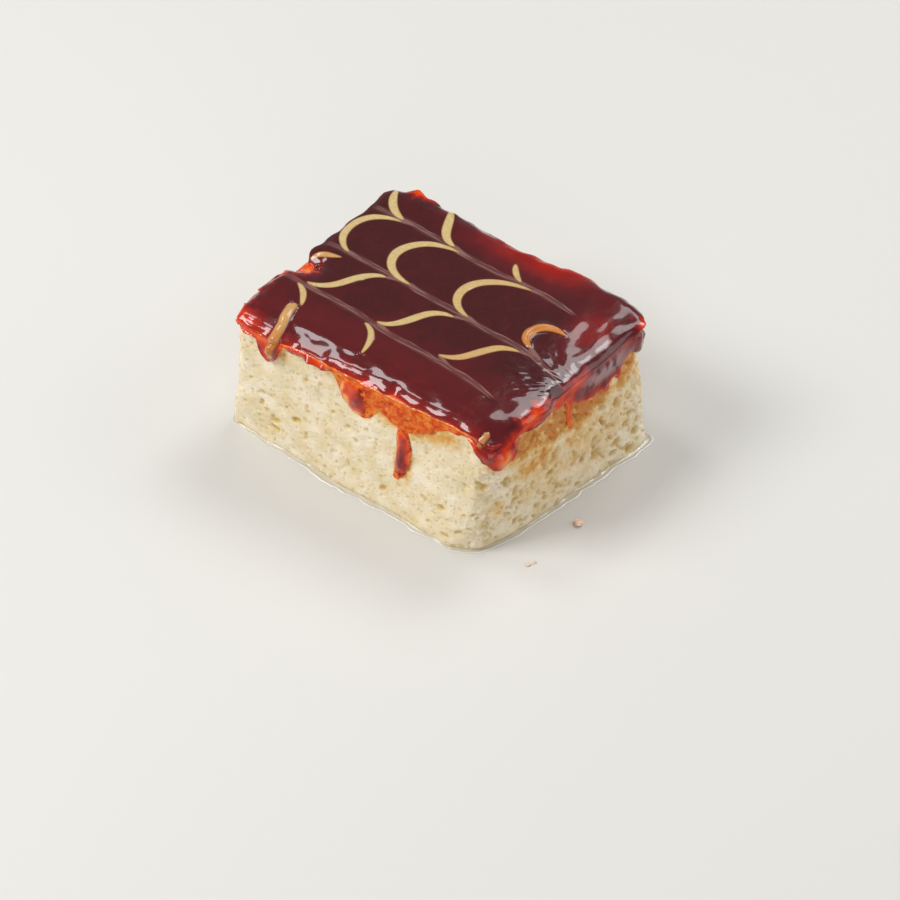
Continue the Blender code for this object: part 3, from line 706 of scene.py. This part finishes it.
close = add_node(tree, "ShaderNodeMapRange", {"Value": beside_track}, {"From Min": 2.0, "From Max": 1.4})
kept = add_node(tree, "ShaderNodeMath", {0: traces.outputs[0], 1: close.outputs[0]}, operation="MULTIPLY")
hazed = add_node(tree, "ShaderNodeMath", {0: kept.outputs[0], 1: haze.outputs[0]}, operation="MAXIMUM")
tails = add_node(tree, "ShaderNodeMapRange", {"Value": stored(tree, "tail")},
                 {"From Min": 0.25, "From Max": -0.35, "To Max": 0.8}, interpolation_type="SMOOTHSTEP")
traces = add_node(tree, "ShaderNodeMath", {0: hazed.outputs[0], 1: tails.outputs[0]}, operation="MAXIMUM")
traced = add_node(tree, "ShaderNodeMath", {0: traces.outputs[0], 1: stored(tree, "top")}, operation="MULTIPLY")
dragged = add_node(tree, "ShaderNodeMix", {0: traced.outputs[0], 6: body.outputs["Color"]}, {7: srgb("86605A")},
                   data_type="RGBA")
# Mix in the painted grey-lilac reflection on the film down the right face.
sheen_share = add_node(tree, "ShaderNodeMath", {0: stored(tree, "painted_sheen")}, {1: 0.75}, operation="MULTIPLY")
sheened = add_node(tree, "ShaderNodeMix", {0: sheen_share.outputs[0], 6: dragged.outputs[2]}, {7: srgb("AE8E90")},
                  data_type="RGBA")
finished = add_node(tree, "ShaderNodeMix", {0: inside.outputs[0], 6: sheened.outputs[2], 7: icing.outputs[2]},
                    data_type="RGBA")
tree.links.new(finished.outputs[2], shader.inputs["Base Color"])
waves = add_node(tree, "ShaderNodeTexNoise", {"Vector": spot}, {"Scale": 1 / 0.003, "Detail": 2.0})
wrinkle = add_node(tree, "ShaderNodeTexNoise", {"Vector": spot},
                   {"Scale": 1 / 0.0016, "Detail": 4.0, "Roughness": 0.6, "Distortion": 1.2})
ruffled = add_node(tree, "ShaderNodeMath", {0: wrinkle.outputs["Fac"], 1: stored(tree, "swirl")}, operation="MULTIPLY")
surface = add_node(tree, "ShaderNodeMath", {0: ruffled.outputs[0], 2: waves.outputs["Fac"]}, {1: 0.5},
                   operation="MULTIPLY_ADD")
ridged = add_node(tree, "ShaderNodeMath", {0: traced.outputs[0], 2: surface.outputs[0]}, {1: 0.25},
                  operation="MULTIPLY_ADD")
bump = add_node(tree, "ShaderNodeBump", {"Height": ridged.outputs[0]}, {"Strength": 0.5, "Distance": 0.0004})
tree.links.new(bump.outputs[0], shader.inputs["Normal"])
set_inputs(shader, {"Roughness": 0.24, "IOR": 1.45, "Specular IOR Level": 0.12, "Coat Weight": 1.0,
                    "Coat Roughness": 0.065, "Coat IOR": 1.45, "Subsurface Weight": 0.12,
                    "Subsurface Radius": (1.0, 0.22, 0.08), "Subsurface Scale": 0.002})
glaze.data.materials.append(caramel)

# The same caramel where it only hangs on the crumb as a thin skin: the crumb shows its
# roughness through it, so it mirrors less.
caramel_skin = caramel.copy()
caramel_skin.name = "thin_caramel_skin"
set_inputs(caramel_skin.node_tree.nodes["Principled BSDF"],
           {"Roughness": 0.32, "Coat Weight": 0.3, "Subsurface Weight": 0.04})
glaze.data.materials.append(caramel_skin)

# Crumb that caramel has only soaked: no sheet stands on it, so it is matt and grainy.
soaked, tree, shader, spot = start_material("caramel_soaked_crumb")
cloud = add_node(tree, "ShaderNodeTexNoise", {"Vector": spot}, {"Scale": 1 / 0.0016, "Detail": 5.0, "Roughness": 0.65})
uneven = add_node(tree, "ShaderNodeMapRange", {"Value": cloud.outputs["Fac"]},
                  {"From Min": 0.40, "From Max": 0.62, "To Max": 2.4})
depths = add_node(tree, "ShaderNodeMath", {0: stored(tree, "depth"), 1: uneven.outputs[0]}, operation="MULTIPLY")
body = add_node(tree, "ShaderNodeValToRGB", {"Fac": depths.outputs[0]}, stops=(
    (0.0, srgb("DC842C")), (0.10, srgb("DC5A0A")), (0.26, srgb("C43A04")), (0.50, srgb("942004")),
    (0.85, srgb("641006"))))
tree.links.new(body.outputs["Color"], shader.inputs["Base Color"])
bump = add_node(tree, "ShaderNodeBump", {"Height": cloud.outputs["Fac"]}, {"Strength": 0.8, "Distance": 0.0008})
tree.links.new(bump.outputs[0], shader.inputs["Normal"])
set_inputs(shader, {"Roughness": 0.42, "Specular IOR Level": 0.25, "Subsurface Weight": 0.1,
                    "Subsurface Radius": (1.0, 0.25, 0.08), "Subsurface Scale": 0.001})
glaze.data.materials.append(soaked)

# Which faces wear the skin and which are only soaked.
SKIN, SOAKED = 1, 2            # places in the glaze's list of materials
thin_film = (film < 0.42) & (hung > 0.6) & (places[:, 1] < -28.0) & (places[:, 0] > -24.0) & (places[:, 0] < 33.0)
skin_only = (hung > 0.75) | (places[:, 1] > 29.0) & (depth < 1.3) | (depth < 1.2) & (places[:, 0] < -42.0)
skin_only |= (places[:, 0] < -45.0) & (normals[:, 2] < 0.85)
skin_only &= outer & (slid > 0.4) & ((thick < 1.3) | (places[:, 1] > 29.0))
for polygon in glaze.data.polygons:
    corners = list(polygon.vertices)
    if thin_film[corners].all():
        polygon.material_index = SOAKED
    elif skin_only[corners].all():
        polygon.material_index = SKIN
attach(glaze, "root")
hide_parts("glaze")

# Bubbles of the boiled caramel, set where the sheet was torn and where the cream slid.
BUBBLE_SUNK = 0.22             # share of the radius
BUBBLE_SQUASH = (1.0, 1.0, 0.8)

bpy.ops.object.select_all(action="DESELECT")
bubbles = []
top_skin = BVHTree.FromPolygons([Vector(p) for p in places], [p.vertices[:] for p in glaze.data.polygons])
for x, y, radius in BUBBLES:
    hit = top_skin.ray_cast(Vector((x, y, 50.0)), Vector((0, 0, -1)))
    bpy.ops.mesh.primitive_uv_sphere_add(segments=16, ring_count=10, radius=radius * MM,
                                         location=(hit[0] - Vector((0, 0, BUBBLE_SUNK * radius))) * MM)
    bpy.context.object.scale = BUBBLE_SQUASH
    bubbles.append(bpy.context.object)
for bubble in bubbles:
    bubble.select_set(True)
bpy.ops.object.join()
bubble_group = bpy.context.object
bubble_group.name = "caramel_bubbles"
bpy.ops.object.transform_apply(location=True, rotation=True, scale=True)
bpy.ops.object.shade_smooth()
# The caramel as a bubble's skin: dark as the glaze under it, and glassy.
bubble_skin, tree, shader, spot = start_material("clear_caramel_bubble")
cloud = add_node(tree, "ShaderNodeTexNoise", {"Vector": spot}, {"Scale": 1 / 0.0008, "Detail": 2.0})
body = add_node(tree, "ShaderNodeValToRGB", {"Fac": cloud.outputs["Fac"]}, stops=(
    (0.35, srgb("4A0A10")), (0.65, srgb("6E1214"))))
tree.links.new(body.outputs["Color"], shader.inputs["Base Color"])
set_inputs(shader, {"Roughness": 0.04, "IOR": 1.49})
bubble_group.data.materials.append(bubble_skin)
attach(bubble_group, "root")

# The milk that has drained out of the sponge: a shallow rim of sweet milk held round
# the foot by its own surface, a little wider where the cut face leans out over it.
MILK_COLUMNS = 480
MILK_WIDTHS = ((-60, 1.2), (-25, 1.5), (-10, 1.9), (10, 2.3), (32, 2.2), (60, 1.4), (120, 1.6), (180, 1.3),
               (215, 1.2), (245, 2.3), (262, 1.7), (280, 1.9), (300, 1.6))   # degrees round the slice, mm
# Share of the width out from the foot (mm under the sponge), height in mm, and what a full lip adds.
MILK_PROFILE = ((-2.5, 0.05, 0.0), (-1.2, 1.0, 0.0), (-0.35, 0.48, 0.0), (0.12, 0.26, 0.0), (0.40, 0.13, 0.0),
                (0.60, 0.08, 0.0), (0.74, 0.09, 0.34), (0.86, 0.08, 0.24), (0.96, 0.04, 0.0), (1.01, 0.0, 0.0))
# Where the milk stands up in a lip at its border: degrees round the slice, how much of it.
MILK_LIPS = ((-60, 0.6), (-48, 0.3), (-30, 0.75), (55, 0.75), (90, 0.2), (200, 0.0), (236, 0.1), (246, 1.0),
             (258, 0.9), (264, 0.1), (276, 0.7), (292, 0.8), (300, 0.6))

milk_mesh = bmesh.new()
rings = []
for column in range(MILK_COLUMNS):
    turn = 360.0 * column / MILK_COLUMNS - 60.0
    way = Vector((math.cos(math.radians(turn)), math.sin(math.radians(turn)), 0.0))
    hit = wall.ray_cast(way * 90.0 + Vector((0, 0, 0.6)), -way)
    width = float(np.interp(turn, *np.array(MILK_WIDTHS).T))
    width *= 1.0 + 0.45 * noise.noise(way * 9.0) + 0.25 * noise.noise(way * 31.0)
    lip_here = float(np.interp(turn, *np.array(MILK_LIPS).T))
    ring = []
    for share, height, lip in MILK_PROFILE:
        off = share * width if share > 0.0 else share
        place = Vector((hit[0].x, hit[0].y, 0.0)) + way * off
        height *= 1.0 + 0.8 * noise.noise(place / 2.1) if share < 0.5 else 1.0
        height += lip * lip_here
        ring.append(milk_mesh.verts.new((place.x * MM, place.y * MM, height * MM)))
    rings.append(ring)
for ring, following in zip(rings, rings[1:] + rings[:1]):
    for a, b, c, d in zip(ring, ring[1:], following[1:], following):
        milk_mesh.faces.new((a, b, c, d))
    milk_mesh.faces.new((ring[-1], ring[0], following[0], following[-1]))
bmesh.ops.recalc_face_normals(milk_mesh, faces=milk_mesh.faces)
milk_data = bpy.data.meshes.new("milk_rim")
milk_mesh.to_mesh(milk_data)
milk_mesh.free()
milk = bpy.data.objects.new("milk_rim", milk_data)
bpy.context.scene.collection.objects.link(milk)
apply_modifier(milk, "even out", "SMOOTH", factor=0.5, iterations=3)
milk.data.shade_smooth()
store(milk, "out", [share for _ in range(MILK_COLUMNS) for share, _, _ in MILK_PROFILE])

# Thin sweet milk: glassy. Its colour is darker and warmer next to the crumb, partly the crumb's
# tint and partly painted shade, and paler in its lip, a painted highlight.
sweet_milk, tree, shader, spot = start_material("sweet_milk")
thin = add_node(tree, "ShaderNodeTexNoise", {"Vector": spot}, {"Scale": 1 / 0.007, "Detail": 2.0})
spread = add_node(tree, "ShaderNodeMath", {0: thin.outputs["Fac"], 2: stored(tree, "out")}, {1: 0.12},
                  operation="MULTIPLY_ADD")
# Darker beige next to the foot is partly painted shade; the palest stop, at 0.86, is the lip, a painted highlight.
body = add_node(tree, "ShaderNodeValToRGB", {"Fac": spread.outputs[0]}, stops=(
    (0.05, srgb("D0C3A6")), (0.70, srgb("D3CBBA")), (0.86, srgb("EEEAE2")), (1.0, srgb("E8E5DF"))))
tree.links.new(body.outputs["Color"], shader.inputs["Base Color"])
set_inputs(shader, {"Roughness": 0.08, "IOR": 1.4, "Subsurface Weight": 0.3,
                    "Subsurface Radius": (1.0, 0.9, 0.75), "Subsurface Scale": 0.001})
milk.data.materials.append(sweet_milk)
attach(milk, "root")

# Crumbs that fell beside the slice: torn bits of wet sponge, tinted a little by the
# caramel. Each is a squashed ball whose skin is pushed in and out by noise.
CRUMBS = ((51.2, -10.0, 1.15), (48.7, -30.0, 0.6), (49.6, -28.4, 0.4))   # mm: place and radius
CRUMB_RISE = 0.45              # height of its middle, as a share of the radius
CRUMB_SQUASH = (1.2, 0.9, 0.5)

bpy.ops.object.select_all(action="DESELECT")
crumb_parts = []
for x, y, radius in CRUMBS:
    bpy.ops.mesh.primitive_ico_sphere_add(subdivisions=4, radius=radius * MM,
                                          location=(x * MM, y * MM, radius * CRUMB_RISE * MM))
    part = bpy.context.object
    part.scale = CRUMB_SQUASH
    crumb_parts.append(part)
for part in crumb_parts:
    part.select_set(True)
bpy.ops.object.join()
crumbs_fallen = bpy.context.object
crumbs_fallen.name = "fallen_crumbs"
bpy.ops.object.transform_apply(location=True, rotation=True, scale=True)
bpy.ops.object.shade_smooth()
crumb_places = get_places(crumbs_fallen)
shaped = crumb_places + get_normals(crumbs_fallen) * (0.35 * lumps(crumb_places, 0.8, 20.0, 2))[:, None]
shaped[:, 2] = np.clip(shaped[:, 2], 0.0, None)
set_places(crumbs_fallen, shaped)
# Wet cake crumb with a trace of caramel: matt, and a faint orange.
crumb_orange, tree, shader, spot = start_material("caramel_stained_crumb")
grain = add_node(tree, "ShaderNodeTexNoise", {"Vector": spot}, {"Scale": 1 / 0.0007, "Detail": 4.0})
body = add_node(tree, "ShaderNodeValToRGB", {"Fac": grain.outputs["Fac"]}, stops=(
    (0.35, srgb("E4B794")), (0.65, srgb("F2DCC8"))))
tree.links.new(body.outputs["Color"], shader.inputs["Base Color"])
bump = add_node(tree, "ShaderNodeBump", {"Height": grain.outputs["Fac"]}, {"Strength": 0.5, "Distance": 0.0003})
tree.links.new(bump.outputs[0], shader.inputs["Normal"])
set_inputs(shader, {"Roughness": 0.55})
crumbs_fallen.data.materials.append(crumb_orange)
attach(crumbs_fallen, "root")

# The floor under the slice, the studio's softboxes and the camera.
FLOOR_SIDE = 6.0               # m
AMBIENT_LIGHT = 0.30
FOCAL_LENGTH, SENSOR_WIDTH = 108.0, 36.0              # mm
CAMERA_PLACE = Vector((310.73, -435.57, 519.80))      # mm, at the photograph's angle
CAMERA_AIM = Vector((3.695, -1.93, -6.0))             # mm

bpy.ops.object.select_all(action="DESELECT")
bpy.ops.mesh.primitive_plane_add(size=FLOOR_SIDE, location=(0, 0, 0))
floor = bpy.context.object
floor.name = "floor"
# Matt white studio paper.
paper = bpy.data.materials.new("matt_white_sweep")
paper.use_nodes = True
set_inputs(paper.node_tree.nodes["Principled BSDF"], {"Base Color": srgb("CFCDC8"), "Roughness": 0.6})
floor.data.materials.append(paper)

LIGHTS = (
    # name, direction it comes from, distance in m, size in m, power in W
    ("key_softbox", (-0.55, -0.50, 0.70), 1.1, (0.46, 0.50), 8.4),
    ("back_softbox", (0.03, 0.60, 0.79), 1.2, (0.55, 0.50), 4.0),
    ("back_core", (0.10, 0.61, 0.79), 1.2, (0.22, 0.28), 1.2),
    ("side_softbox", (0.66, 0.56, 0.46), 1.2, (0.85, 0.85), 3.6),
    ("front_fill", (0.55, -0.75, 0.45), 1.8, (1.2, 1.2), 7.5),
    ("top_strip", (-0.48, 0.04, 0.88), 1.2, (0.24, 0.34), 2.2),
)
for name, direction, distance, size, power in LIGHTS:
    light = bpy.data.lights.new(name, "AREA")
    light.shape = "RECTANGLE"
    light.size, light.size_y = size
    light.energy = power
    lamp = bpy.data.objects.new(name, light)
    lamp.location = Vector(direction).normalized() * distance
    lamp.rotation_euler = (-lamp.location).to_track_quat("-Z", "Y").to_euler()
    bpy.context.scene.collection.objects.link(lamp)

world = bpy.data.worlds.new("studio")
bpy.context.scene.world = world
world.use_nodes = True
set_inputs(world.node_tree.nodes["Background"], {"Color": srgb("F4F6F8"), "Strength": AMBIENT_LIGHT})

lens = bpy.data.cameras.new("camera")
lens.lens = FOCAL_LENGTH
lens.sensor_width = SENSOR_WIDTH
camera = bpy.data.objects.new("camera", lens)
camera.location = CAMERA_PLACE * MM
camera.rotation_euler = (CAMERA_AIM * MM - camera.location).to_track_quat("-Z", "Y").to_euler()
bpy.context.scene.collection.objects.link(camera)
bpy.context.scene.camera = camera
bpy.context.scene.view_settings.view_transform = "Standard"
